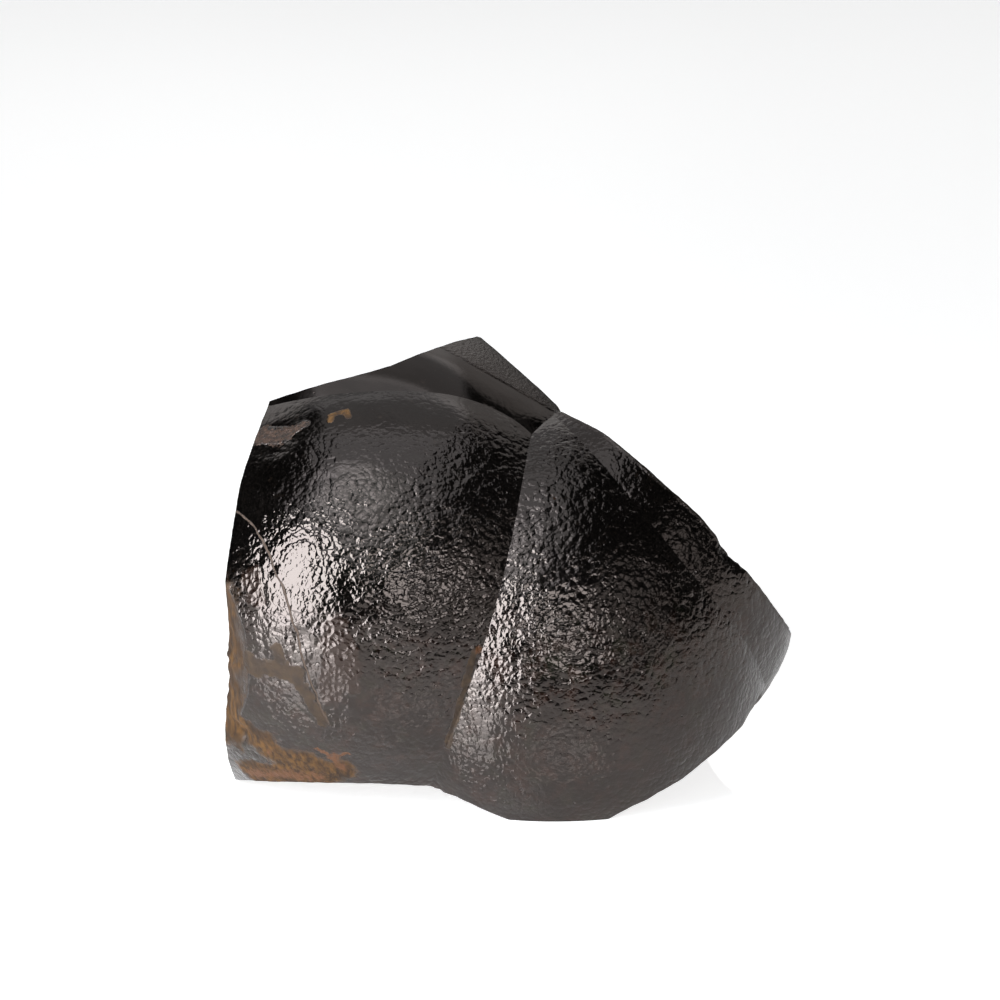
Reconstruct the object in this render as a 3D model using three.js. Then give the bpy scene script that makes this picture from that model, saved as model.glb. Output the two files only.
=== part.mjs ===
// A polished specimen of botryoidal goethite, in millimetres, +Z up.
//
// The stone is one solid. Its front is made of four swollen domes that grew into
// each other and meet in sharp valleys; its rim, sides and back are broken faces
// that show the ledges of the growth layers; it stands on a flat base at Z = 0.
// X runs across the front, Y runs from the front to the back. The origin is at
// the middle of the footprint, on the surface that the stone stands on.
//
// Every surface is measured along rays that leave one inner point, the heart.
// A dome ends a ray where the ray leaves its ellipsoid, and the domes are joined
// by taking the farthest. A broken face ends a ray where it meets its plane, and
// the faces are cut by taking the nearest. An icosphere is then pulled out to
// that distance, with vertices moved onto the valleys and broken edges first.

import * as THREE from 'three';
import { mergeVertices } from 'three/addons/utils/BufferGeometryUtils.js';

// ---------------------------------------------------------------- dimensions

const FINENESS = 20; // cuts along each edge of the starting icosahedron
const HEART = new THREE.Vector3(-2.5, 2.5, 24.5); // the inner point, well inside every dome
const LEAN = 16; // degrees that all the domes lean back

// The domes: the middle, the half sizes across, deep and tall, and the turn of
// the tall axis towards +X, in degrees.
const DOMES = {
  left: { centre: [-17.1, 11.5, 23.4], half: [36.8, 37.9, 34.5], turn: 0 },
  front: { centre: [6.4, 3.5, 18.6], half: [30.5, 29.5, 32.9], turn: 0 },
  right: { centre: [15.4, 9.6, 25.7], half: [26.0, 27.6, 28.2], turn: 0 },
  crown: { centre: [-7.1, 19.3, 29.1], half: [46.0, 34.5, 27.4], turn: 37 },
};

// The broken faces: the compass direction that each looks to (0 is +X, 90 is
// +Y), how far it looks up, and its distance from the heart. A face that names
// domes cuts only those.
const FACES = [
  { name: 'upper right, crown', azimuth: 22, rise: 41, distance: 25.6, domes: ['crown', 'left'] },
  {
    name: 'upper right, shoulder',
    azimuth: 32,
    rise: 54.5,
    distance: 27.3,
    domes: ['left', 'front', 'right'],
  },
  { name: 'upper right, long', azimuth: 21, rise: 44, distance: 27.2 },
  { name: 'right', azimuth: 19, rise: 39, distance: 28.0 },
  { name: 'left, upper', azimuth: 169, rise: 10, distance: 34.5 },
  { name: 'left, lower', azimuth: 170, rise: 3, distance: 32.7 },
  { name: 'left, bevel', azimuth: -147, rise: -4, distance: 40.6 },
  { name: 'under front, first', azimuth: -27, rise: -58, distance: 34.1 },
  { name: 'under front, second', azimuth: -17, rise: -49, distance: 35.4 },
  { name: 'under front, third', azimuth: -7, rise: -34, distance: 38.3, domes: ['front'] },
  { name: 'under right', azimuth: -7, rise: -32, distance: 39.6, domes: ['right'] },
  { name: 'under left', azimuth: -94, rise: -72, distance: 26.0, domes: ['left', 'crown'] },
  { name: 'under valley', azimuth: -148, rise: -62, distance: 26.5, domes: ['front'] },
  { name: 'back, middle', azimuth: 84, rise: 12, distance: 20.4 },
  { name: 'back, right', azimuth: 52, rise: -3, distance: 26.3 },
  { name: 'back, left', azimuth: 114, rise: -9, distance: 27.6 },
  { name: 'back, low', azimuth: 87, rise: -31, distance: 23.8 },
];

// The upper left rim is broken along two faces that meet in a hollow corner.
const HOLLOW_RIM = [
  { name: 'upper left, low', azimuth: 127, rise: 63, distance: 34.0 },
  { name: 'upper left, high', azimuth: 143, rise: 56, distance: 34.3 },
];

// Chips and vugs: the middle of each, its radius and its depth.
const DENTS = [
  { name: 'chipped corner patch', at: [-32.4, -8.0, 51.5], radius: 4.5, depth: 0.35 },
  { name: 'lower left vug', at: [-36.6, -15.5, 11.5], radius: 2.6, depth: 1.0 },
  { name: 'ledge on the right rim', at: [31.5, -9.0, 36.0], radius: 4.2, depth: 0.9 },
  { name: 'back vug, upper', at: [-12.0, 26.0, 40.0], radius: 5.0, depth: 2.2 },
  { name: 'back vug, lower', at: [9.0, 25.0, 20.0], radius: 4.0, depth: 1.8 },
  { name: 'left vug', at: [-38.0, 8.0, 30.0], radius: 4.2, depth: 1.6 },
];

const LAYER = 5.5; // thickness of one growth layer, seen as ledges on broken faces
const LEDGE = 1.2; // height of a ledge
const LEDGE_SHARPNESS = 0.25; // share of a layer that its ledge takes up
const LEDGE_WANDER = 1.4; // how far a ledge strays from its layer
const HACKLE = 1.0; // height of the rough relief on broken faces
const HACKLE_LENGTH = 24.0; // its longest wave
const HACKLE_OCTAVES = 3;
const SINK = 0.8; // how far the relief of broken faces lies below a clean cut, which keeps rims clean
const SWELL = 0.14; // height of the slow swells that polishing left on the domes
const SWELL_LENGTH = 13.0;
const RIM_FADE = 3.5; // broken relief grows from nothing over this depth below the rim
const BASE_FADE = 3.0; // all relief grows from nothing over this height above the flat base

const STONE_COLOUR = 0x2b2624;

// ----------------------------------------------------------------- surfaces

const radians = THREE.MathUtils.degToRad;

// Turns and stretches a dome into a unit ball about the origin.
function ballFrame({ centre, half, turn }) {
  const lean = new THREE.Matrix4().makeRotationX(radians(-LEAN));
  const roll = new THREE.Matrix4().makeRotationY(radians(turn));
  const place = new THREE.Matrix4().makeTranslation(...centre);
  const stretch = new THREE.Matrix4().makeScale(...half);
  return place.multiply(lean).multiply(roll).multiply(stretch).invert();
}

// The distance from the heart at which a ray leaves a dome.
function domeReach(frame, ray) {
  const start = HEART.clone().applyMatrix4(frame);
  const step = ray.clone().add(HEART).applyMatrix4(frame).sub(start);
  const a = step.lengthSq();
  const b = step.dot(start);
  const c = start.lengthSq() - 1;
  return (-b + Math.sqrt(b * b - a * c)) / a;
}

function faceNormal({ azimuth, rise }) {
  const level = Math.cos(radians(rise));
  return new THREE.Vector3(
    Math.cos(radians(azimuth)) * level,
    Math.sin(radians(azimuth)) * level,
    Math.sin(radians(rise)),
  );
}

// The distance from the heart at which a ray meets a face.
function faceReach(face, ray) {
  const towards = face.normal.dot(ray);
  return towards > 1e-6 ? face.distance / towards : Infinity;
}

const domes = Object.entries(DOMES).map(([name, dome]) => ({ name, frame: ballFrame(dome) }));
const withNormal = (face) => ({ ...face, normal: faceNormal(face) });
const wholeFaces = FACES.filter((face) => !face.domes).map(withNormal);
const partFaces = FACES.filter((face) => face.domes).map(withNormal);
const hollowRim = HOLLOW_RIM.map(withNormal);
const base = { name: 'base', normal: new THREE.Vector3(0, 0, -1), distance: HEART.z };

// What a ray meets: how far out the skin is, the surface's name, and how far
// the natural dome surface would have been.
function meet(ray) {
  let reach = 0;
  let natural = 0;
  let surface = '';
  for (const dome of domes) {
    const full = domeReach(dome.frame, ray);
    let end = full;
    let ending = dome.name;
    for (const face of partFaces) {
      const cut = face.domes.includes(dome.name) ? faceReach(face, ray) : Infinity;
      if (cut < end) {
        end = cut;
        ending = face.name;
      }
    }
    natural = Math.max(natural, full);
    if (end > reach) {
      reach = end;
      surface = ending;
    }
  }
  const rims = hollowRim.map((face) => faceReach(face, ray));
  const rim = Math.max(...rims);
  if (rim < reach) {
    reach = rim;
    surface = hollowRim[rims.indexOf(rim)].name;
  }
  for (const face of [...wholeFaces, base]) {
    const cut = faceReach(face, ray);
    if (cut < reach) {
      reach = cut;
      surface = face.name;
    }
  }
  return { reach, natural, surface };
}

// ------------------------------------------------------------------- relief

const WAVES = 4; // waves in each octave of roughness
const WARP = 0.09; // how far the waves are bent out of line, as a share of their length
const GOLDEN_ANGLE = Math.PI * (3 - Math.sqrt(5));
const PHASE = 1.7; // shifts each wave against the one before

// A smooth, repeatable roughness between about -1 and 1: bent waves that run in
// directions spread by the golden angle, each octave half as long and half as high.
function roughness(point, length, octaves) {
  const turn = (2 * Math.PI) / length;
  const bend = WARP * length;
  const x = point.x + bend * Math.sin(turn * point.y + 1);
  const y = point.y + bend * Math.sin(turn * point.z + 2);
  const z = point.z + bend * Math.sin(turn * point.x + 3);
  let sum = 0;
  let height = 1;
  let number = 0;
  for (let octave = 0; octave < octaves; octave += 1) {
    const pitch = turn * 2 ** octave;
    for (let wave = 0; wave < WAVES; wave += 1) {
      number += 1;
      const up = 1 - (2 * (wave + 0.5)) / WAVES;
      const level = Math.sqrt(1 - up * up);
      const angle = GOLDEN_ANGLE * number;
      const along = x * Math.cos(angle) * level + y * Math.sin(angle) * level + z * up;
      sum += height * Math.sin(pitch * along + PHASE * number);
    }
    height /= 2;
  }
  return sum / WAVES;
}

// Growth layers step down one after another below the natural surface.
function ledges(depth) {
  const layers = depth / LAYER;
  const part = layers - Math.floor(layers);
  const drop = THREE.MathUtils.smoothstep(part, 1 - LEDGE_SHARPNESS, 1);
  return LEDGE * (part - drop - 0.5 + LEDGE_SHARPNESS / 2);
}

function dentDepth(point) {
  let depth = 0;
  for (const { at, radius, depth: deepest } of DENTS) {
    const away = point.distanceTo(new THREE.Vector3(...at)) / radius;
    depth += deepest * (1 - THREE.MathUtils.smoothstep(away, 0.3, 1));
  }
  return depth;
}

// The finished skin: the surface with its relief, cut again by the flat base.
function skin(ray) {
  const { reach, natural } = meet(ray);
  const point = HEART.clone().addScaledVector(ray, reach);
  const depth = natural - reach;
  const broken = THREE.MathUtils.smoothstep(depth, 0, RIM_FADE);
  const layered = depth + LEDGE_WANDER * roughness(point, SWELL_LENGTH, 1);
  const rough = HACKLE * roughness(point, HACKLE_LENGTH, HACKLE_OCTAVES) + ledges(layered) - SINK;
  const swell = SWELL * roughness(point, SWELL_LENGTH, 1);
  const raised = THREE.MathUtils.smoothstep(point.z, 0, BASE_FADE);
  const relief = raised * (broken * rough + (1 - broken) * swell - dentDepth(point));
  const end = Math.min(reach + relief, faceReach(base, ray));
  return HEART.clone().addScaledVector(ray, end);
}

// --------------------------------------------------------------------- mesh

// Where the surface changes along an edge of the sphere, the nearer end moves
// onto the change, so that valleys and broken edges run clean.
function moveOntoEdges(rays, triangles) {
  const surfaces = rays.map((ray) => meet(ray).surface);
  const nearest = new Map();
  const search = 12; // halvings of an edge
  for (let corner = 0; corner < triangles.length; corner += 1) {
    const from = triangles[corner];
    const to = triangles[corner % 3 === 2 ? corner - 2 : corner + 1];
    if (surfaces[from] === surfaces[to]) continue;
    let low = 0;
    let high = 1;
    for (let halving = 0; halving < search; halving += 1) {
      const middle = (low + high) / 2;
      const ray = rays[from].clone().lerp(rays[to], middle).normalize();
      if (meet(ray).surface === surfaces[from]) low = middle;
      else high = middle;
    }
    const share = (low + high) / 2;
    const mover = share < 0.5 ? from : to;
    const way = Math.min(share, 1 - share);
    if (way < (nearest.get(mover)?.way ?? 0.5)) {
      nearest.set(mover, { way, ray: rays[from].clone().lerp(rays[to], share).normalize() });
    }
  }
  return rays.map((ray, index) => nearest.get(index)?.ray ?? ray);
}

function stoneGeometry() {
  const sphere = new THREE.IcosahedronGeometry(1, FINENESS);
  sphere.deleteAttribute('normal');
  sphere.deleteAttribute('uv');
  const geometry = mergeVertices(sphere);
  const places = geometry.getAttribute('position');
  const rays = [];
  for (let index = 0; index < places.count; index += 1) {
    rays.push(new THREE.Vector3().fromBufferAttribute(places, index).normalize());
  }
  moveOntoEdges(rays, geometry.getIndex().array).forEach((ray, index) => {
    places.setXYZ(index, ...skin(ray));
  });
  geometry.computeVertexNormals();
  return geometry;
}

const stone = new THREE.Mesh(
  stoneGeometry(),
  new THREE.MeshStandardMaterial({ color: STONE_COLOUR, roughness: 0.2, metalness: 0.1 }),
);
stone.name = 'goethite_stone';

const part = new THREE.Group();
part.add(stone);

export default part;
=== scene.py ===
# A polished specimen of botryoidal goethite: four black domes that grew into each
# other, broken off all round their rim and standing on a flat base.
#
# The stone's dimensions are in millimetres, +Z up, in the part's own frame: X runs
# across the front, Y runs from the front to the back, and the flat base is at Z = 0.
# Everything that goes into the scene is turned into metres by MM.

from math import cos, pi, radians, sin, sqrt, tan

import bmesh
import bpy
import numpy as np
from mathutils import Matrix, Vector


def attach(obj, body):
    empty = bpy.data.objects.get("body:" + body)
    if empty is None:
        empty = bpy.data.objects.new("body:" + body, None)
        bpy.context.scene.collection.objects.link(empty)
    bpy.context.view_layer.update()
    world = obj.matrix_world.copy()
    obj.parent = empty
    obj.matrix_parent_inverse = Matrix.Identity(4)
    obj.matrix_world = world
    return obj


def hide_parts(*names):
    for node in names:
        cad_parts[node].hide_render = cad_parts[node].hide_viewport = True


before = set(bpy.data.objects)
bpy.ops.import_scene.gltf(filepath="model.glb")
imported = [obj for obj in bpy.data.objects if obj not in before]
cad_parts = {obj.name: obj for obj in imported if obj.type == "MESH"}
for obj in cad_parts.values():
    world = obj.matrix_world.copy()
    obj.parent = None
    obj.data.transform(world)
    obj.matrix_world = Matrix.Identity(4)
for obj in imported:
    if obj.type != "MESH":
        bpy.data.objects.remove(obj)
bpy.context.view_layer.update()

MM = 0.001

# ------------------------------------------------------------ the stone's dimensions

HEART = np.array((-2.5, 2.5, 24.5))  # the inner point that every surface is measured from
LEAN = 16  # degrees that all the domes lean back

# The domes: the middle, the half sizes across, deep and tall, and the turn of the
# tall axis towards +X, in degrees.
DOMES = {
    "left": {"centre": (-17.1, 11.5, 23.4), "half": (36.8, 37.9, 34.5), "turn": 0},
    "front": {"centre": (6.4, 3.5, 18.6), "half": (30.5, 29.5, 32.9), "turn": 0},
    "right": {"centre": (15.4, 9.6, 25.7), "half": (26.0, 27.6, 28.2), "turn": 0},
    "crown": {"centre": (-7.1, 19.3, 29.1), "half": (46.0, 34.5, 27.4), "turn": 37},
}

# The broken faces: the compass direction that each looks to (0 is +X, 90 is +Y), how
# far it looks up, its distance from the heart, and the domes that it cuts.
EVERY_DOME = tuple(DOMES)
FACES = {
    "upper right, crown": (22, 41, 25.6, ("crown", "left")),
    "upper right, shoulder": (32, 54.5, 27.3, ("left", "front", "right")),
    "upper right, long": (21, 44, 27.2, EVERY_DOME),
    "right": (19, 39, 28.0, EVERY_DOME),
    "left, upper": (169, 10, 34.5, EVERY_DOME),
    "left, lower": (170, 3, 32.7, EVERY_DOME),
    "left, bevel": (-147, -4, 40.6, EVERY_DOME),
    "under front, first": (-27, -58, 34.1, EVERY_DOME),
    "under front, second": (-17, -49, 35.4, EVERY_DOME),
    "under front, third": (-7, -34, 38.3, ("front",)),
    "under right": (-7, -32, 39.6, ("right",)),
    "under left": (-94, -72, 26.0, ("left", "crown")),
    "under valley": (-148, -62, 26.5, ("front",)),
    "back, middle": (84, 12, 20.4, EVERY_DOME),
    "back, right": (52, -3, 26.3, EVERY_DOME),
    "back, left": (114, -9, 27.6, EVERY_DOME),
    "back, low": (87, -31, 23.8, EVERY_DOME),
}

# The upper left rim is broken along two faces that meet in a hollow corner.
HOLLOW_RIM = {
    "upper left, low": (127, 63, 34.0),
    "upper left, high": (143, 56, 34.3),
}

# Chips, vugs and small scallops: the middle of each, its radius and its depth.
DENTS = {
    "chipped corner patch": ((-32.4, -8.0, 51.5), 4.5, 0.35),
    "lower left vug": ((-36.6, -15.5, 11.5), 2.6, 1.0),
    "ledge on the right rim": ((31.5, -9.0, 36.0), 4.2, 0.9),
    "back vug, upper": ((-12.0, 26.0, 40.0), 5.0, 2.2),
    "back vug, lower": ((9.0, 25.0, 20.0), 4.0, 1.8),
    "left vug": ((-38.0, 8.0, 30.0), 4.2, 1.6),
    "scallop, outer": ((-31.3, -23.1, 22.0), 2.6, 0.18),
    "scallop, inner": ((-24.8, -24.9, 20.0), 2.8, 0.18),
    "scallop, upper": ((-28.5, -24.2, 27.0), 2.2, 0.15),
    "scallop, lower": ((-23.8, -24.3, 16.2), 2.4, 0.16),
}

# The rims that are worn: the broken faces beside which the polish is rubbed off.
WORN_RIMS = ("upper right, shoulder", "upper right, long", "right")
RIM_REACH = 6.0  # farther than this from a worn rim, its distance is no longer kept

LAYER = 5.5  # thickness of one growth layer, seen as ledges on broken faces
LEDGE = 1.2  # height of a ledge
LEDGE_SHARPNESS = 0.25  # share of a layer that its ledge takes up
LEDGE_WANDER = 1.4  # how far a ledge strays from its layer
HACKLE = 1.0  # height of the rough relief on broken faces
HACKLE_LENGTH = 24.0  # its longest wave
HACKLE_OCTAVES = 4
SINK = 0.8  # how far the relief of broken faces lies below a clean cut, which keeps rims clean
SWELL = 0.14  # height of the slow swells that polishing left on the domes
SWELL_LENGTH = 13.0
RIM_FADE = 3.5  # broken relief grows from nothing over this depth below the rim
BASE_FADE = 3.0  # all relief grows from nothing over this height above the flat base

FINE_LAYER = 1.5  # thickness of the thin layers inside a growth layer
FINE_LEDGE = 0.15  # height of their ledges
RAGGED = 0.10  # how far a broken face's rim strays from a clean cut
RAGGED_LENGTH = 7.0
FIBRE = 0.09  # height of the fibres that radiate from the middle of each dome
FIBRE_WIDTH = 1.7
FIBRE_STRETCH = 0.08  # how much slower they change along their length than across it
FIBRE_SPHERE = 30.0  # distance from the middle at which they have that width
FINE_FADE = 2.5  # fine broken relief grows from nothing over this depth below the rim
PEEL = 0.018  # height of the orange-peel texture of the polished domes
PEEL_LENGTH = 1.2  # from one of its dimples to the next
DIMPLE = 0.030  # height of the broader dimples under it
DIMPLE_LENGTH = 2.8

# Where the orange peel is strongest on each dome: the middle of the place, the radii
# over which it fades, and its share inside and outside. The crown has almost none.
PEEL_PLACES = {
    "left": ((-3.0, -21.0, 34.0), (13.0, 26.0), (1.15, 0.6)),
    "front": ((10.0, -24.0, 34.0), (12.0, 28.0), (0.95, 0.6)),
    "right": ((26.0, -18.0, 32.0), (8.0, 24.0), (0.8, 0.6)),
    "crown": ((-7.0, 0.0, 60.0), (10.0, 20.0), (0.15, 0.15)),
}
PEEL_TOP = (48.0, 56.0)  # height over which it fades towards the smooth top
PEEL_TOP_SHARE = 0.2

# ---------------------------------------------------------------- surfaces of the stone


def facing(azimuth, rise):
    """The direction that looks to a compass point and up by so many degrees."""
    level = cos(radians(rise))
    return np.array((cos(radians(azimuth)) * level, sin(radians(azimuth)) * level, sin(radians(rise))))


def dome_reach(dome, rays):
    """The distance from the heart at which each ray leaves a dome."""
    lean = np.array(Matrix.Rotation(radians(LEAN), 3, "X"))
    roll = np.array(Matrix.Rotation(radians(-dome["turn"]), 3, "Y"))
    to_ball = np.diag(1 / np.array(dome["half"])) @ roll @ lean
    start = to_ball @ (HEART - dome["centre"])
    step = rays @ to_ball.T
    a = (step * step).sum(axis=1)
    b = step @ start
    c = start @ start - 1
    return (-b + np.sqrt(b * b - a * c)) / a


def face_reach(azimuth, rise, distance, rays):
    """The distance from the heart at which each ray meets a broken face."""
    towards = rays @ facing(azimuth, rise)
    return np.where(towards > 1e-6, distance / np.maximum(towards, 1e-6), np.inf)


def base_reach(rays):
    return face_reach(0, -90, HEART[2], rays)


def cut(reach, surface, new_reach, name):
    """Ends the rays that meet a new surface first."""
    nearer = new_reach < reach
    return np.where(nearer, new_reach, reach), np.where(nearer, name, surface)


def meet(rays):
    """What each ray meets: how far out the skin is, the number of the surface, how far
    out the natural dome surface would have been, and the number of its dome."""
    full = np.array([dome_reach(dome, rays) for dome in DOMES.values()])
    natural = full.max(axis=0)
    ragged = RAGGED * roughness(HEART + rays * natural[:, None], RAGGED_LENGTH, 3)
    cuts = {name: face_reach(*face[:3], rays) + ragged for name, face in FACES.items()}
    numbers = {name: len(DOMES) + number for number, name in enumerate(FACES)}
    reach = np.zeros(len(rays))
    surface = np.zeros(len(rays), dtype=int)
    for dome_number, dome_name in enumerate(DOMES):
        end = full[dome_number]
        ending = np.full(len(rays), dome_number)
        for name, face in FACES.items():
            if dome_name in face[3] and face[3] != EVERY_DOME:
                end, ending = cut(end, ending, cuts[name], numbers[name])
        farther = end > reach
        reach = np.where(farther, end, reach)
        surface = np.where(farther, ending, surface)
    rims = np.array([face_reach(*face, rays) for face in HOLLOW_RIM.values()])
    rim_number = len(DOMES) + len(FACES) + rims.argmax(axis=0)
    reach, surface = cut(reach, surface, rims.max(axis=0) + ragged, rim_number)
    for name, face in FACES.items():
        if face[3] == EVERY_DOME:
            reach, surface = cut(reach, surface, cuts[name], numbers[name])
    base_number = len(DOMES) + len(FACES) + len(HOLLOW_RIM)
    reach, surface = cut(reach, surface, base_reach(rays), base_number)
    return reach, surface, natural, full.argmax(axis=0)


# -------------------------------------------------------------------------- its relief

WAVES = 4  # waves in each octave of roughness
WARP = 0.09  # how far the waves are bent out of line, as a share of their length
GOLDEN_ANGLE = pi * (3 - sqrt(5))
GOLDEN_SHARE = (sqrt(5) - 1) / 2
PHASE = 1.7  # shifts each wave against the one before
GRAIN_WAVES = 40  # waves in a grain
GRAIN_SPREAD = 0.6  # how much the lengths of its waves differ, as a share


def smoothstep(value, low, high):
    share = np.clip((value - low) / (high - low), 0, 1)
    return share * share * (3 - 2 * share)


def roughness(points, length, octaves):
    """A repeatable roughness between about -1 and 1: bent waves that run in directions
    spread by the golden angle, each octave half as long and half as high."""
    turn = 2 * pi / length
    bend = WARP * length
    bent = points + bend * np.sin(turn * points[:, (1, 2, 0)] + (1, 2, 3))
    total = np.zeros(len(points))
    for number in range(1, WAVES * octaves + 1):
        octave, wave = divmod(number - 1, WAVES)
        up = 1 - 2 * (wave + 0.5) / WAVES
        level = sqrt(1 - up * up)
        angle = GOLDEN_ANGLE * number
        along = bent @ (cos(angle) * level, sin(angle) * level, up)
        total += 0.5**octave * np.sin(turn * 2**octave * along + PHASE * number)
    return total / WAVES


def grain(points, length):
    """An even, repeatable grain with no direction, between about -2 and 2: many waves of
    nearly one length, in directions spread over a ball."""
    total = np.zeros(len(points))
    for number in range(GRAIN_WAVES):
        up = 1 - 2 * (number + 0.5) / GRAIN_WAVES
        level = sqrt(1 - up * up)
        angle = GOLDEN_ANGLE * number
        size = length * (1 + GRAIN_SPREAD * ((number * GOLDEN_SHARE) % 1 - 0.5))
        along = points @ (cos(angle) * level, sin(angle) * level, up)
        total += np.sin(2 * pi / size * along + PHASE * number * number)
    return total / sqrt(GRAIN_WAVES / 2)


def ledges(depth, layer, height):
    """Growth layers step down one after another below the natural surface."""
    part = depth / layer - np.floor(depth / layer)
    drop = smoothstep(part, 1 - LEDGE_SHARPNESS, 1)
    return height * (part - drop - 0.5 + LEDGE_SHARPNESS / 2)


def away_from(points, place):
    return np.linalg.norm(points - np.array(place), axis=1)


def dent_depth(points):
    depth = np.zeros(len(points))
    for place, radius, deepest in DENTS.values():
        depth += deepest * (1 - smoothstep(away_from(points, place) / radius, 0.3, 1))
    return depth


def growth_directions(points, owner):
    """The way each point lies from the middle of the dome that it grew with."""
    centres = np.array([dome["centre"] for dome in DOMES.values()])[owner]
    away = points - centres
    distance = np.linalg.norm(away, axis=1, keepdims=True)
    return away / distance, distance


def fibres(points, owner):
    direction, distance = growth_directions(points, owner)
    return grain(direction * (FIBRE_SPHERE + FIBRE_STRETCH * distance), FIBRE_WIDTH)


def peel_share(points, owner):
    share = np.zeros(len(points))
    for number, dome in enumerate(DOMES):
        middle, radii, (inside, outside) = PEEL_PLACES[dome]
        fade = smoothstep(away_from(points, middle), *radii)
        share = np.where(owner == number, inside + (outside - inside) * fade, share)
    return share * (1 + (PEEL_TOP_SHARE - 1) * smoothstep(points[:, 2], *PEEL_TOP))


def rim_margin(points):
    """How far the clean cut of the nearest worn rim lies beyond each point."""
    outward = points - HEART
    reach = np.linalg.norm(outward, axis=1)
    cuts = [face_reach(*FACES[name][:3], outward / reach[:, None]) for name in WORN_RIMS]
    return np.minimum(np.min(cuts, axis=0) - reach, RIM_REACH)


def skin(rays):
    """The finished skin, the depth of each point below the natural dome, and its dome."""
    reach, surface, natural, owner = meet(rays)
    points = HEART + rays * reach[:, None]
    depth = natural - reach
    broken = smoothstep(depth, 0, RIM_FADE)
    layered = depth + LEDGE_WANDER * roughness(points, SWELL_LENGTH, 1)
    rough = HACKLE * roughness(points, HACKLE_LENGTH, HACKLE_OCTAVES) + ledges(layered, LAYER, LEDGE)
    rough -= SINK
    fine = FIBRE * fibres(points, owner) + ledges(layered, FINE_LAYER, FINE_LEDGE)
    swell = SWELL * roughness(points, SWELL_LENGTH, 1)
    dimples = PEEL * grain(points, PEEL_LENGTH) + DIMPLE * grain(points, DIMPLE_LENGTH)
    dimples *= peel_share(points, owner)
    finely_broken = smoothstep(depth, 0, FINE_FADE)
    raised = smoothstep(points[:, 2], 0, BASE_FADE)
    relief = broken * rough + (1 - broken) * swell - dent_depth(points)
    relief += finely_broken * fine + (1 - finely_broken) * dimples
    end = np.minimum(reach + raised * relief, base_reach(rays))
    return HEART + rays * end[:, None], depth, owner


# ---------------------------------------------------------------------------- its mesh

SPHERE_STEPS = 6
SPHERE_CUTS = 2  # further cuts along each edge of the sphere
FRONT_SHARE = 0.5  # how strongly the mesh is gathered towards the front, from 0 to 1
SHARP_ANGLE = 40  # degrees between two faces, from which on their edge is sharp
EDGE_SEARCH = 12  # halvings of a mesh edge in the search for a change of surface


def unit(vectors):
    return vectors / np.linalg.norm(vectors, axis=1, keepdims=True)


def move_onto_edges(rays, edges):
    """Where the surface changes along an edge of the sphere, the nearer end moves onto
    the change, so that valleys and broken edges run clean."""
    surface = meet(rays)[1]
    changing = edges[surface[edges[:, 0]] != surface[edges[:, 1]]]
    start, end = rays[changing[:, 0]], rays[changing[:, 1]]
    low = np.zeros(len(changing))
    high = np.ones(len(changing))
    for _ in range(EDGE_SEARCH):
        middle = (low + high) / 2
        same = meet(unit(start + (end - start) * middle[:, None]))[1] == surface[changing[:, 0]]
        low = np.where(same, middle, low)
        high = np.where(same, high, middle)
    share = (low + high) / 2
    mover = np.where(share < 0.5, changing[:, 0], changing[:, 1])
    way = np.minimum(share, 1 - share)
    order = np.argsort(-way)  # the shortest move of each vertex is written last
    moved = rays.copy()
    moved[mover[order]] = unit(start + (end - start) * share[:, None])[order]
    on_change = np.zeros(len(rays), dtype=bool)
    on_change[mover] = True
    return moved, on_change


def sharpen(mesh, chosen):
    """Marks the chosen edges as sharp, beside the ones that are already sharp."""
    sharp = mesh.attributes["sharp_edge"]
    already = np.zeros(len(mesh.edges), dtype=bool)
    sharp.data.foreach_get("value", already)
    sharp.data.foreach_set("value", already | chosen)


def vertex_values(mesh, name, values):
    attribute = mesh.attributes.new(name, "FLOAT", "POINT")
    attribute.data.foreach_set("value", values.astype(np.float32))


def vertex_vectors(mesh, name, vectors):
    attribute = mesh.attributes.new(name, "FLOAT_VECTOR", "POINT")
    attribute.data.foreach_set("vector", vectors.astype(np.float32).ravel())


def off_line(points, line):
    """How far each point lies to one side or the other of a line of straight runs, as the
    heart sees them."""
    outward = points - HEART
    way = unit(outward)
    nearest = np.full(len(points), np.inf)
    for start, end in zip(line, line[1:]):
        start, end = np.array(start) - HEART, np.array(end) - HEART
        run = end - start
        share = np.clip((outward - start) @ run / (run @ run), 0, 1)
        off = np.linalg.norm(way - unit(start + share[:, None] * run), axis=1)
        off = np.copysign(off * np.linalg.norm(outward, axis=1), way @ np.cross(start, end))
        nearest = np.where(np.abs(off) < np.abs(nearest), off, nearest)
    return nearest


# A thin vein of limonite winds down the left dome.
VEIN = (
    (-37.3, -13.5, 42.1), (-35.9, -15.2, 41.5), (-34.8, -16.5, 40.8), (-33.8, -18.0, 39.5),
    (-32.6, -19.7, 37.6), (-31.8, -21.1, 35.3), (-30.8, -22.1, 33.7), (-30.3, -22.8, 32.2),
    (-29.0, -24.0, 28.0), (-28.4, -24.3, 25.3), (-27.6, -24.5, 22.5), (-26.6, -24.4, 19.6),
    (-25.6, -24.0, 16.6), (-24.6, -23.6, 14.6),
)

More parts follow.
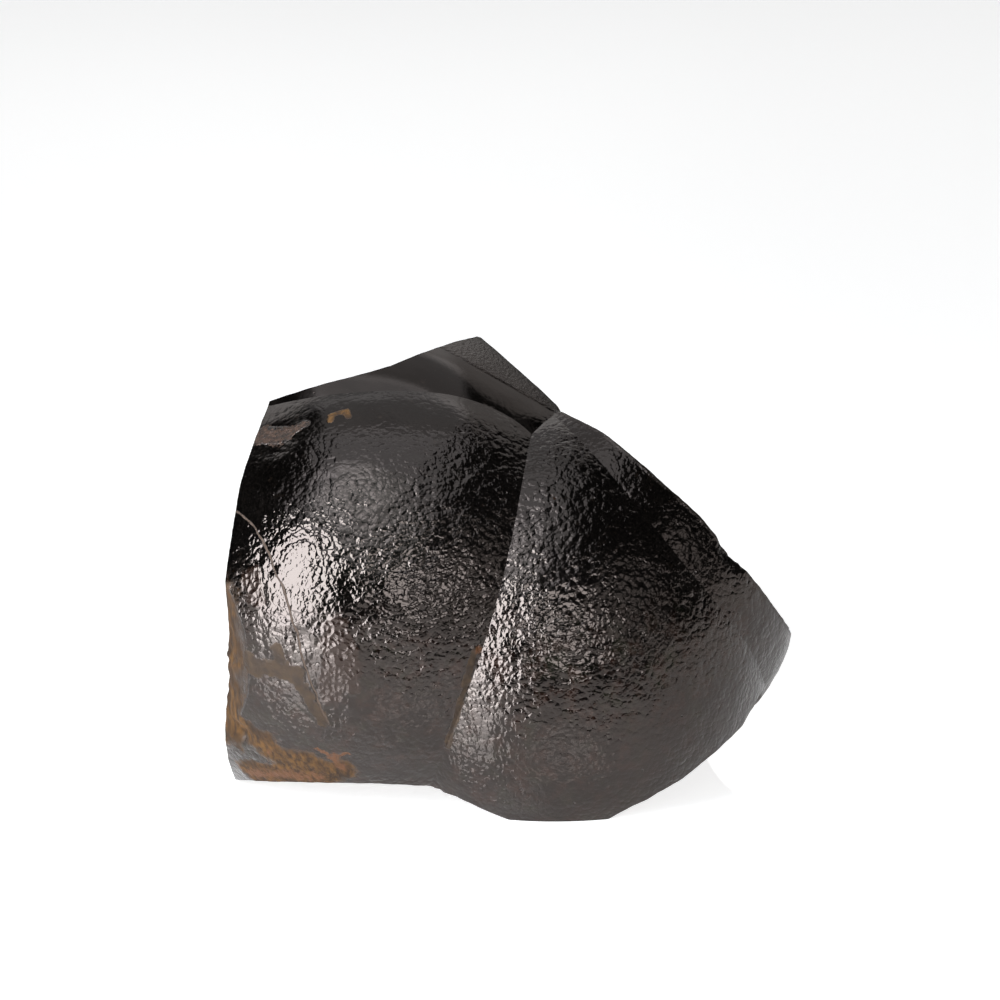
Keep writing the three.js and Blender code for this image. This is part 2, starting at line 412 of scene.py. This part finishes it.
# Stains, and one strip of painted shade: the lines that they run along, each with its half
# width, and their spots, each with its radius.
OCHRE_LINES = (
    (((-39.3, -15.6, 29.0), (-39.3, -15.8, 25.0), (-39.3, -15.4, 19.0), (-39.0, -14.0, 12.8)), 4.9),
    (((-36.7, -16.7, 12.5), (-34.9, -17.8, 10.8), (-33.0, -17.7, 8.7), (-23.3, -20.1, 6.9)), 2.6),
    (((-35.2, -12.1, 3.5), (-31.4, -15.7, 4.9), (-25.0, -18.5, 6.0)), 3.2),
    (((-24.6, -7.6, 53.5), (-24.4, -6.6, 53.9), (-22.4, -6.2, 54.4), (-22.1, -7.4, 53.9)), 0.5),
)
RUST_LINES = (
    (((-26.5, -21.4, 10.5), (-24.5, -21.4, 9.5), (-22.1, -22.1, 10.0)), 0.5),
    (((-24.3, -21.2, 9.2), (-22.8, -20.5, 7.3)), 1.0),
    (((-36.0, -12.0, 3.6), (-31.4, -15.7, 4.9), (-26.0, -18.0, 5.6)), 1.6),
)
RUST_SPOTS = (
    ((-4.2, -23.8, 25.4), 0.8),
    ((6.1, -13.6, 44.2), 0.5),
    ((-33.0, -17.7, 8.7), 0.8),
)
# A brown film; its last line is painted shade in the valley between the left and the front dome.
BROWN_FILM_AND_VALLEY_SHADE_LINES = (
    (((-35.8, -20.7, 22.8), (-33.8, -21.9, 22.1), (-29.2, -23.9, 22.2)), 1.7),
    (((-31.8, -23.0, 25.4), (-31.3, -23.2, 23.8)), 0.9),
    (((-28.8, -24.0, 21.0), (-26.9, -23.8, 17.4), (-25.3, -23.4, 14.7)), 1.1),
    # painted shade, not film: a brown strip down the left side of the valley between the left and the
    # front dome
    (((-4.6, -23.6, 25.4), (-6.4, -23.3, 18.5), (-8.4, -21.9, 11.0)), 0.6),
)
# Where polishing left reddish pits, and where the corner is chipped.
PITTED_LINES = (
    (((-23.6, -25.4, 28.6), (-23.9, -25.4, 22.8), (-24.2, -24.9, 19.6)), 2.4),
    (((-21.5, -25.8, 26.0), (-21.3, -25.6, 20.4)), 1.5),
    (((-35.0, -19.4, 34.8), (-34.5, -20.6, 31.6)), 1.6),
)
CHIP_LINES = (
    (((-34.4, -5.5, 51.0), (-31.6, -6.8, 51.3)), 2.0),
    (((-31.6, -7.2, 51.2), (-28.1, -6.8, 52.8)), 0.9),
)
STAINS_AND_PAINTED_SHADE = {
    "ochre": (OCHRE_LINES, ()),
    "rust": (RUST_LINES, RUST_SPOTS),
    "brown_film_and_valley_shade": (BROWN_FILM_AND_VALLEY_SHADE_LINES, ()),
    "pitted": (PITTED_LINES, ()),
    "chip": (CHIP_LINES, ()),
}
VEIN_REACH = 4.0  # farther than this from the vein, its distance is no longer kept
FARTHEST = -3.0  # the least closeness to a stain that is kept


def closeness(points, lines, spots):
    """1 along the middle of each line and spot, falling to 0 at its edge and on below."""
    closest = np.full(len(points), -np.inf)
    for line, width in lines:
        closest = np.maximum(closest, 1 - np.abs(off_line(points, line)) / width)
    for place, radius in spots:
        closest = np.maximum(closest, 1 - away_from(points, place) / radius)
    return np.maximum(closest, FARTHEST)


def stone_mesh():
    sphere = bmesh.new()
    bmesh.ops.create_icosphere(sphere, subdivisions=SPHERE_STEPS, radius=1)
    bmesh.ops.subdivide_edges(sphere, edges=sphere.edges, cuts=SPHERE_CUTS, use_grid_fill=True)
    mesh = bpy.data.meshes.new("goethite_stone_skin")
    sphere.to_mesh(mesh)
    sphere.free()
    count = len(mesh.vertices)
    rays = np.empty(count * 3, dtype=np.float32)
    mesh.vertices.foreach_get("co", rays)
    rays = unit(unit(rays.reshape(-1, 3).astype(float)) + (0, -FRONT_SHARE, 0))
    edges = np.empty(len(mesh.edges) * 2, dtype=np.int32)
    mesh.edges.foreach_get("vertices", edges)
    edges = edges.reshape(-1, 2)
    rays, on_change = move_onto_edges(rays, edges)
    points, depth, owner = skin(rays)
    mesh.vertices.foreach_set("co", (points * MM).astype(np.float32).ravel())
    direction, distance = growth_directions(points, owner)
    vertex_values(mesh, "depth", depth)
    vertex_values(mesh, "vein", np.clip(off_line(points, VEIN), -VEIN_REACH, VEIN_REACH))
    for name, (lines, spots) in STAINS_AND_PAINTED_SHADE.items():
        vertex_values(mesh, name, closeness(points, lines, spots))
    vertex_values(mesh, "rim", rim_margin(points))
    vertex_values(mesh, "peel", peel_share(points, owner))
    vertex_vectors(mesh, "fibre", direction * (FIBRE_SPHERE + FIBRE_STRETCH * distance))
    mesh.shade_smooth()
    mesh.set_sharp_from_angle(angle=radians(SHARP_ANGLE))
    sharpen(mesh, on_change[edges].all(axis=1))
    mesh.update()
    return mesh


# ------------------------------------------------------------------------ node helpers


class Graph:
    """Adds nodes to one node tree. An input is given a value or another node's output."""

    def __init__(self, tree):
        self.tree = tree

    def node(self, kind, inputs=(), **settings):
        node = self.tree.nodes.new("ShaderNode" + kind)
        for name, value in settings.items():
            setattr(node, name, value)
        for key, value in dict(inputs).items():
            self.feed(node.inputs[key], value)
        return node

    def feed(self, socket, value):
        if isinstance(value, bpy.types.NodeSocket):
            self.tree.links.new(value, socket)
        else:
            socket.default_value = value

    def math(self, operation, *values):
        return self.node("Math", dict(enumerate(values)), operation=operation).outputs[0]

    def vector(self, operation, *values):
        return self.node("VectorMath", dict(enumerate(values)), operation=operation).outputs["Vector"]

    def ramp(self, value, low, high, to_low=0.0, to_high=1.0):
        """Runs smoothly from to_low where value is low to to_high where it is high."""
        inputs = {"Value": value, "From Min": low, "From Max": high, "To Min": to_low, "To Max": to_high}
        return self.node("MapRange", inputs, interpolation_type="SMOOTHSTEP").outputs["Result"]

    def mix(self, share, below, above):
        node = self.node("Mix", data_type="RGBA")
        self.feed(node.inputs["Factor"], share)
        self.feed(node.inputs[6], below)
        self.feed(node.inputs[7], above)
        return node.outputs[2]

    def blend(self, share, below, above):
        node = self.node("Mix", data_type="FLOAT")
        self.feed(node.inputs["Factor"], share)
        self.feed(node.inputs[2], below)
        self.feed(node.inputs[3], above)
        return node.outputs[0]

    def noise(self, place, size, detail=2.0, rough=0.5):
        """Cloudy noise between 0 and 1 whose patches are about size across."""
        inputs = {"Vector": place, "Scale": 1 / size, "Detail": detail, "Roughness": rough}
        return self.node("TexNoise", inputs).outputs["Fac"]

    def attribute(self, name, output="Fac"):
        return self.node("Attribute", attribute_name=name).outputs[output]


# --------------------------------------------------------------------------- materials

INDEX = 1.6  # refractive index of the polished surface
BLACK = (0.0012, 0.0010, 0.0009, 1)  # polished goethite
RUSSET = (0.0120, 0.0052, 0.0034, 1)  # faint clouds in it, low on the domes
OLIVE = (0.0056, 0.0062, 0.0034, 1)
BREAK_DARK = (0.010, 0.0075, 0.006, 1)  # broken faces
BREAK_BROWN = (0.040, 0.024, 0.015, 1)
OCHRE = (0.115, 0.053, 0.011, 1)
OCHRE_DARK = (0.018, 0.009, 0.004, 1)
RUST = (0.10, 0.034, 0.008, 1)
# the brown film, and the painted shade in the valley between the left and the front dome
BROWN = (0.036, 0.020, 0.0072, 1)
BROWN_DARK = (0.014, 0.0075, 0.0030, 1)
PITTED = (0.012, 0.0055, 0.0036, 1)  # a reddish patch that polishing left pitted
CHIP = (0.048, 0.026, 0.017, 1)  # the chipped corner patch
WORN = (0.013, 0.010, 0.008, 1)  # rims that have lost their polish
TAN = (0.075, 0.050, 0.036, 1)  # the vein
WARM_REFLECTION = (1.0, 0.84, 0.77, 1)

# How each mark's edge is frayed and how it sets in: the size of the first noise, how far
# that moves the edge, the same two for a finer noise, and the edge values between which
# the mark sets in. The sizes are in millimetres.
EDGES = {
    "ochre": (4.0, 1.4, 0.7, 0.5, -0.1, 0.45),
    "brown_film_and_valley_shade": (2.4, 1.6, 0.9, 0.9, 0.10, 0.45),
    "pitted": (2.0, 1.4, 0.8, 0.8, 0.1, 0.4),
    "chip": (1.6, 1.6, 0.5, 0.8, 0.1, 0.4),
}
BROKEN_EDGE = (0.05, 0.35)  # depth over which a broken face sets in
WORN_EDGE = (0.1, 0.7, 0.6, 0.0)  # distance from a worn rim, and how worn it is there
VEIN_WIDTH = (0.04, 0.12)  # the least and the greatest half width of the vein
VEIN_SOFT = 0.10  # over which its edge fades
VEIN_FOOT = (13.5, 17.0)  # height over which it sets in
CLOUDS = (34.0, 22.0)  # height over which the clouds set in, downwards

# Roughness of each finish.
POLISH = (0.07, 0.12)
BREAK_FINISH = (0.38, 0.60)
WORN_FINISH = 0.34
PITTED_FINISH = 0.26
BROWN_FINISH = 0.75
OCHRE_FINISH = 0.90
CRUST_FINISH = 0.65  # the chipped patch, the rust and the vein

# Fine relief. The shares are parts of RELIEF.
RELIEF = 0.16  # millimetres
BLISTER = 0.78  # size of the little blisters that the orange peel is made of
BLISTER_SHARE = 0.8
RIPPLE = 0.5  # size of the ripples between them
RIPPLE_SHARE = 0.6
BEND = 0.9  # how far the blisters are pulled out of shape
BEND_LENGTH = 1.6
PIT_GAP = 2.4  # between small single pits in the polish
PIT_EDGE = (0.03, 0.085)  # their edge, as a share of that gap
PIT_SHARE = 0.8
PITTED_SHARE = 0.8
THREAD_SHARE = 1.3  # fibres and grit on the broken faces
GRIT = 0.5
GRIT_SHARE = 0.7
CHIP_SHARE = 2.4
BROWN_SHARE = 0.6  # how much of the relief under the brown film and the painted valley shade it covers
OCHRE_SHARE = 0.5
VEIN_SHARE = 0.5


class StoneMaterial:
    """The nodes that the colour, the finish and the relief of the stone share."""

    def __init__(self, tree):
        self.graph = graph = Graph(tree)
        self.place = graph.node("TexCoord").outputs["Object"]
        self.height = graph.node("SeparateXYZ", {0: self.place}).outputs["Z"]
        self.fibre_place = graph.attribute("fibre", "Vector")
        self.depth = graph.attribute("depth")
        self.streak = graph.noise(self.fibre_place, 1.2, 3, 0.6)
        lengthwise = graph.vector("MULTIPLY", self.place, (1.0, 1.0, 0.22))
        self.ochre_grain = graph.ramp(graph.noise(lengthwise, 0.8 * MM, 2, 0.65), 0.3, 0.7)
        self.broken = graph.ramp(self.frayed(self.depth, 1.2, 0.5), *BROKEN_EDGE)
        self.worn = self.worn_share()
        self.vein = self.vein_share()
        self.rust = graph.ramp(self.frayed(graph.attribute("rust"), 0.7, 2.2), 0.1, 1.0, 0.0, 0.85)
        self.ochre = self.frayed_mark("ochre")
        self.brown_film_and_valley_shade = self.frayed_mark("brown_film_and_valley_shade")
        self.pitted = self.frayed_mark("pitted")
        self.chip = self.frayed_mark("chip")

    def frayed(self, value, size, amount):
        """A value whose even edges are made uneven by noise."""
        off = self.graph.math("SUBTRACT", self.graph.noise(self.place, size * MM, 2, 0.6), 0.5)
        return self.graph.math("MULTIPLY_ADD", off, amount, value)

    def frayed_mark(self, name):
        size, amount, fine_size, fine_amount, begins, full = EDGES[name]
        share = self.frayed(self.graph.attribute(name), size, amount)
        return self.graph.ramp(self.frayed(share, fine_size, fine_amount), begins, full)

    def even_mark(self, name, most=1.0):
        """The same with its even edges, which is enough for the relief."""
        return self.graph.ramp(self.graph.attribute(name), *EDGES[name][-2:], 0.0, most)

    def worn_share(self):
        """Polish is rubbed off along the worn rims."""
        margin = self.frayed(self.frayed(self.graph.attribute("rim"), 3.0, 1.4), 0.8, 0.9)
        return self.graph.ramp(margin, *WORN_EDGE)

    def vein_share(self):
        graph = self.graph
        width = graph.ramp(graph.noise(self.place, 2.5 * MM, 2), 0.3, 0.7, *VEIN_WIDTH)
        edge = graph.math("ADD", width, VEIN_SOFT)
        off = graph.math("ABSOLUTE", self.frayed(graph.attribute("vein"), 1.5, 0.5))
        above_foot = graph.ramp(self.height, VEIN_FOOT[0] * MM, VEIN_FOOT[1] * MM)
        return graph.math("MULTIPLY", graph.ramp(off, width, edge, 1.0, 0.0), above_foot)

    def clouds(self, size, begins):
        """Faint clouds that lie low on the domes."""
        graph = self.graph
        low = graph.ramp(self.height, CLOUDS[0] * MM, CLOUDS[1] * MM)
        patches = graph.ramp(graph.noise(self.place, size * MM, 3, 0.7), begins, 0.7)
        return graph.math("MULTIPLY", patches, low)

    def colour(self):
        graph = self.graph
        polished = graph.mix(self.clouds(3.4, 0.48), BLACK, OLIVE)
        polished = graph.mix(self.clouds(2.6, 0.45), polished, RUSSET)
        across_layers = graph.node("CombineXYZ", {"X": self.depth}).outputs[0]
        band = graph.noise(across_layers, 2.2, 3, 0.6)
        brown_share = graph.ramp(graph.math("ADD", self.streak, band), 0.8, 1.25)
        colour = graph.mix(self.worn, polished, WORN)
        colour = graph.mix(self.broken, colour, graph.mix(brown_share, BREAK_DARK, BREAK_BROWN))
        colour = graph.mix(graph.math("MULTIPLY", self.pitted, 0.8), colour, PITTED)
        # the brown film, and painted shade down the valley between the left and the front dome
        brown_grain = graph.ramp(graph.noise(self.place, 1.2 * MM, 2), 0.3, 0.7)
        brown_film_and_valley_shade = graph.mix(brown_grain, BROWN_DARK, BROWN)
        colour = graph.mix(graph.math("MULTIPLY", self.brown_film_and_valley_shade, 0.9), colour, brown_film_and_valley_shade)
        cloud = graph.ramp(graph.noise(self.place, 2.6 * MM, 3, 0.6), 0.35, 0.62, 0.35, 1.0)
        ochre = graph.mix(graph.math("MULTIPLY", self.ochre_grain, cloud), OCHRE_DARK, OCHRE)
        colour = graph.mix(self.ochre, colour, ochre)
        colour = graph.mix(self.rust, colour, RUST)
        chip_grain = graph.ramp(graph.noise(self.place, 0.6 * MM, 3, 0.6), 0.35, 0.6)
        colour = graph.mix(self.chip, colour, graph.mix(chip_grain, BREAK_DARK, CHIP))
        return graph.mix(graph.math("MULTIPLY", self.vein, 0.85), colour, TAN)

    def finish(self):
        graph = self.graph
        polish = graph.ramp(graph.noise(self.place, 9 * MM, 3), 0.35, 0.7, *POLISH)
        finish = graph.blend(self.worn, polish, WORN_FINISH)
        finish = graph.blend(self.broken, finish, graph.ramp(self.streak, 0.3, 0.7, *BREAK_FINISH))
        finish = graph.blend(graph.math("MULTIPLY", self.pitted, 0.6), finish, PITTED_FINISH)
        finish = graph.blend(graph.math("MULTIPLY", self.brown_film_and_valley_shade, 0.9), finish, BROWN_FINISH)
        finish = graph.blend(self.ochre, finish, OCHRE_FINISH)
        crust = graph.math("MAXIMUM", self.chip, graph.math("MAXIMUM", self.rust, self.vein))
        return graph.blend(crust, finish, CRUST_FINISH)

    def orange_peel(self, hollows):
        """Little blisters and ripples, in patches, with small single pits."""
        graph = self.graph
        patch = graph.ramp(graph.noise(self.place, 5 * MM, 1), 0.3, 0.7, 0.65, 1.25)
        strength = graph.math("MULTIPLY", graph.attribute("peel"), patch)
        ripple = graph.math("MULTIPLY", graph.noise(self.place, RIPPLE * MM, 1, 0.5), RIPPLE_SHARE)
        blisters = graph.math("MULTIPLY", hollows, hollows)
        blisters = graph.math("MULTIPLY_ADD", blisters, -BLISTER_SHARE, ripple)
        peel = graph.math("MULTIPLY", strength, blisters)
        cells = graph.node("TexVoronoi", {"Vector": self.place, "Scale": 1 / (PIT_GAP * MM)})
        chance = graph.node("SeparateXYZ", {0: cells.outputs["Color"]}).outputs["X"]
        pit = graph.ramp(cells.outputs["Distance"], *PIT_EDGE, 1.0, 0.0)
        pit = graph.math("MULTIPLY", pit, graph.ramp(chance, 0.60, 0.64))
        return graph.math("MULTIPLY_ADD", pit, -PIT_SHARE, peel)

    def relief(self):
        """Orange peel on the polished skin, fibres and grit on the broken faces, pits,
        grains of limonite, and the vein's groove."""
        graph = self.graph
        bend = {"Vector": self.place, "Scale": 1 / (BEND_LENGTH * MM), "Detail": 1.0}
        bend = graph.node("TexNoise", bend).outputs["Color"]
        bent = graph.vector("ADD", self.place, graph.vector("MULTIPLY", bend, (BEND * MM,) * 3))
        hollows = graph.node("TexVoronoi", {"Vector": bent, "Scale": 1 / (BLISTER * MM)})
        hollows = hollows.outputs["Distance"]
        grit = graph.noise(self.place, GRIT * MM, 2, 0.6)
        thread = graph.noise(self.fibre_place, 0.5, 2, 0.6)
        rough = graph.math("MULTIPLY", grit, GRIT_SHARE)
        rough = graph.math("MULTIPLY_ADD", thread, THREAD_SHARE, rough)
        broken = graph.ramp(self.depth, *BROKEN_EDGE)
        unpolished = graph.math("MAXIMUM", broken, graph.ramp(graph.attribute("rim"), *WORN_EDGE))
        relief = graph.blend(unpolished, self.orange_peel(hollows), rough)
        pitted = graph.math("MULTIPLY", hollows, PITTED_SHARE)
        relief = graph.blend(self.even_mark("pitted"), relief, pitted)
        flakes = graph.math("MULTIPLY", grit, CHIP_SHARE)
        relief = graph.blend(self.even_mark("chip"), relief, flakes)
        relief = graph.blend(self.even_mark("brown_film_and_valley_shade", BROWN_SHARE), relief, grit)
        grains = graph.math("MULTIPLY", self.ochre_grain, OCHRE_SHARE)
        relief = graph.blend(self.even_mark("ochre"), relief, grains)
        relief = graph.math("MULTIPLY_ADD", self.vein, -VEIN_SHARE, relief)
        bump = {"Height": relief, "Strength": 1.0, "Distance": RELIEF * MM}
        return graph.node("Bump", bump).outputs["Normal"]


def goethite():
    material = bpy.data.materials.new("polished goethite")
    material.use_nodes = True
    shader = material.node_tree.nodes["Principled BSDF"]
    stone = StoneMaterial(material.node_tree)
    stone.graph.feed(shader.inputs["Base Color"], stone.colour())
    stone.graph.feed(shader.inputs["Roughness"], stone.finish())
    stone.graph.feed(shader.inputs["Normal"], stone.relief())
    shader.inputs["IOR"].default_value = INDEX
    shader.inputs["Specular Tint"].default_value = WARM_REFLECTION
    return material


WHITE = (1, 1, 1, 1)
FLOOR_GREY = (0.82, 0.82, 0.82, 1)
FLOOR_FINISH = 0.05  # its roughness
FLOOR_INDEX = 2.2  # refractive index of its glossy sheet
FLOOR_GLOW_NEAR = 0.95  # light that the floor sends to the stone, beside the softbox
FLOOR_GLOW_FAR = 0.52  # and on the other side
FLOOR_GLOW_SPAN = (-60.0, 0.0)  # where it passes from the one to the other, along X
FLOOR_GLOW_SEEN = 0.8  # and to the camera, so that it stays a clean white


def pale_floor():
    material = bpy.data.materials.new("pale floor")
    material.use_nodes = True
    graph = Graph(material.node_tree)
    shader = material.node_tree.nodes["Principled BSDF"]
    shader.inputs["Base Color"].default_value = FLOOR_GREY
    shader.inputs["Roughness"].default_value = FLOOR_FINISH
    shader.inputs["IOR"].default_value = FLOOR_INDEX
    shader.inputs["Emission Color"].default_value = WHITE
    across = graph.node("SeparateXYZ", {0: graph.node("TexCoord").outputs["Object"]}).outputs["X"]
    near, far = FLOOR_GLOW_SPAN
    glow = graph.ramp(across, near * MM, far * MM, FLOOR_GLOW_NEAR, FLOOR_GLOW_FAR)
    seen = graph.node("LightPath").outputs["Is Camera Ray"]
    graph.feed(shader.inputs["Emission Strength"], graph.blend(seen, glow, FLOOR_GLOW_SEEN))
    return material


# -------------------------------------------------------------------- stage and lights

STUDIO_MIDDLE = (0.0, 0.0, 30.0)  # every standing panel faces this point
FLOOR_RADIUS = 700.0
DARK_STUDIO = (0.0, 0.15)  # the unlit studio, from its darkest to its lightest parts

# Soft panels of light round the stone: the compass direction and height of the middle,
# its distance, the half width and half height in degrees, the share of the panel over
# which its edges fade, the brightness and the colour.
PANELS = {
    "strip softbox": (-133.5, 8, 480, 11.5, 32, 0.12, 15.5, (0.94, 1.0, 1.05)),
    "beside the softbox": (-152, 5, 600, 12, 12, 0.6, 0.7, (1.0, 1.0, 1.0)),
    "haze over the softbox": (-130, 54, 520, 22, 13, 0.6, 1.6, (0.86, 0.92, 1.0)),
    "camera side": (-82.5, 16.5, 133, 19, 11, 0.5, 5.2, (0.97, 1.0, 1.02)),
    "front right": (-48, 24, 400, 20, 16, 0.8, 0.9, (1.0, 1.0, 1.0)),
    "low right": (-5, 3, 600, 38, 7, 0.25, 0.7, (1.0, 0.98, 0.96)),
    "back right": (58, 42, 300, 16, 16, 0.2, 0.45, (1.0, 0.98, 0.96)),
    "back left": (105, 30, 500, 30, 18, 0.2, 0.6, (1.0, 0.98, 0.96)),
}

# Soft panels that hang level over the stone: where they begin and end along X and along
# Y, their height, the share over which their edges fade, the brightness and the colour.
OVERHEAD_PANELS = {
    "overhead, front": ((-54, 20), (-56, 4), 100, 0.15, 1.1, (0.88, 0.94, 1.0)),
    "overhead, front left": ((-58, -14), (-60, -16), 99, 0.5, 1.4, (0.86, 0.93, 1.0)),
    "overhead, front edge": ((-54, 6), (-108, -34), 98, 0.4, 1.3, (0.88, 0.94, 1.0)),
    "overhead, back": ((-48, 18), (-2, 36), 101, 0.15, 0.5, (0.94, 0.97, 1.0)),
    "overhead, far back": ((-80, 17), (26, 75), 102, 0.2, 0.4, (0.94, 0.97, 1.0)),
}


def soft_light(name, fade, brightness, colour):
    """A panel's light, which fades out towards its edges and hides nothing behind it."""
    material = bpy.data.materials.new(name)
    material.use_nodes = True
    material.node_tree.nodes.clear()
    graph = Graph(material.node_tree)
    across = graph.node("SeparateXYZ", {0: graph.node("TexCoord").outputs["Object"]})
    share = 1.0
    for axis in ("X", "Y"):
        off = graph.math("ABSOLUTE", across.outputs[axis])
        share = graph.math("MULTIPLY", graph.ramp(off, 1 - fade, 1, 1.0, 0.0), share)
    strength = graph.math("MULTIPLY", share, brightness)
    light = graph.node("Emission", {"Color": (*colour, 1), "Strength": strength})
    clear = graph.node("BsdfTransparent")
    both = graph.node("AddShader", {0: clear.outputs[0], 1: light.outputs[0]})
    graph.node("OutputMaterial", {"Surface": both.outputs[0]})
    return material


def panel(name, middle, out, half_sizes, fade, brightness, colour):
    """A flat card of light that looks back along out; its sizes are in millimetres."""
    square = bmesh.new()
    bmesh.ops.create_grid(square, x_segments=1, y_segments=1, size=1)
    mesh = bpy.data.meshes.new(name)
    square.to_mesh(mesh)
    square.free()
    mesh.materials.append(soft_light(name, fade, brightness, colour))
    card = bpy.data.objects.new(name, mesh)
    bpy.context.scene.collection.objects.link(card)
    card.location = Vector(middle) * MM
    card.rotation_euler = Vector(out).to_track_quat("Z", "Y").to_euler()
    card.scale = (half_sizes[0] * MM, half_sizes[1] * MM, 1)
    card.visible_camera = False
    return card


def standing_panel(name, azimuth, rise, distance, half_width, half_height, *light):
    out = facing(azimuth, rise)
    middle = STUDIO_MIDDLE + out * distance
    half_sizes = (distance * tan(radians(half_width)), distance * tan(radians(half_height)))
    return panel(name, middle, out, half_sizes, *light)


def overhead_panel(name, across, along, height, *light):
    middle = (sum(across) / 2, sum(along) / 2, height)
    half_sizes = ((across[1] - across[0]) / 2, (along[1] - along[0]) / 2)
    return panel(name, middle, (0, 0, 1), half_sizes, *light)


def studio():
    world = bpy.data.worlds.new("studio")
    bpy.context.scene.world = world
    world.use_nodes = True
    world.node_tree.nodes.clear()
    graph = Graph(world.node_tree)
    uneven = graph.noise(graph.node("TexCoord").outputs["Generated"], 0.25, 2, 0.6)
    dim = graph.ramp(uneven, 0.42, 0.7, *DARK_STUDIO)
    dark = graph.node("Background", {"Color": WHITE, "Strength": dim}).outputs[0]
    backdrop = graph.node("Background", {"Color": WHITE}).outputs[0]
    seen = graph.node("LightPath").outputs["Is Camera Ray"]
    both = graph.node("MixShader", {0: seen, 1: dark, 2: backdrop}).outputs[0]
    graph.node("OutputWorld", {"Surface": both})


def floor():
    disc = bmesh.new()
    bmesh.ops.create_circle(disc, cap_ends=True, segments=96, radius=FLOOR_RADIUS * MM)
    mesh = bpy.data.meshes.new("floor")
    disc.to_mesh(mesh)
    disc.free()
    mesh.materials.append(pale_floor())
    ground = bpy.data.objects.new("floor", mesh)
    bpy.context.scene.collection.objects.link(ground)
    return ground


# ------------------------------------------------------------------------------ camera

CAMERA_TARGET = (-1.19, 9.1, 37.3)
CAMERA_DISTANCE = 900.0
CAMERA_RISE = 16  # degrees that the camera looks down
PICTURE_WIDTH = 141.1  # what the picture spans at the target
SENSOR = 36.0


def camera():
    data = bpy.data.cameras.new("camera")
    data.sensor_width = SENSOR
    data.lens = SENSOR * CAMERA_DISTANCE / PICTURE_WIDTH
    data.clip_start = 0.01
    data.clip_end = 10
    eye = bpy.data.objects.new("camera", data)
    bpy.context.scene.collection.objects.link(eye)
    back = facing(-90, CAMERA_RISE)
    eye.location = (np.array(CAMERA_TARGET) + back * CAMERA_DISTANCE) * MM
    eye.rotation_euler = (radians(90 - CAMERA_RISE), 0, 0)
    bpy.context.scene.camera = eye


# ------------------------------------------------------------------------------- build

camera()
studio()
floor()
for name, settings in PANELS.items():
    standing_panel(name, *settings)
for name, settings in OVERHEAD_PANELS.items():
    overhead_panel(name, *settings)
bpy.context.scene.view_settings.view_transform = "Standard"

stone = bpy.data.objects.new("goethite_skin", stone_mesh())
bpy.context.scene.collection.objects.link(stone)
stone.data.materials.append(goethite())
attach(stone, "root")
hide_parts("goethite_stone")
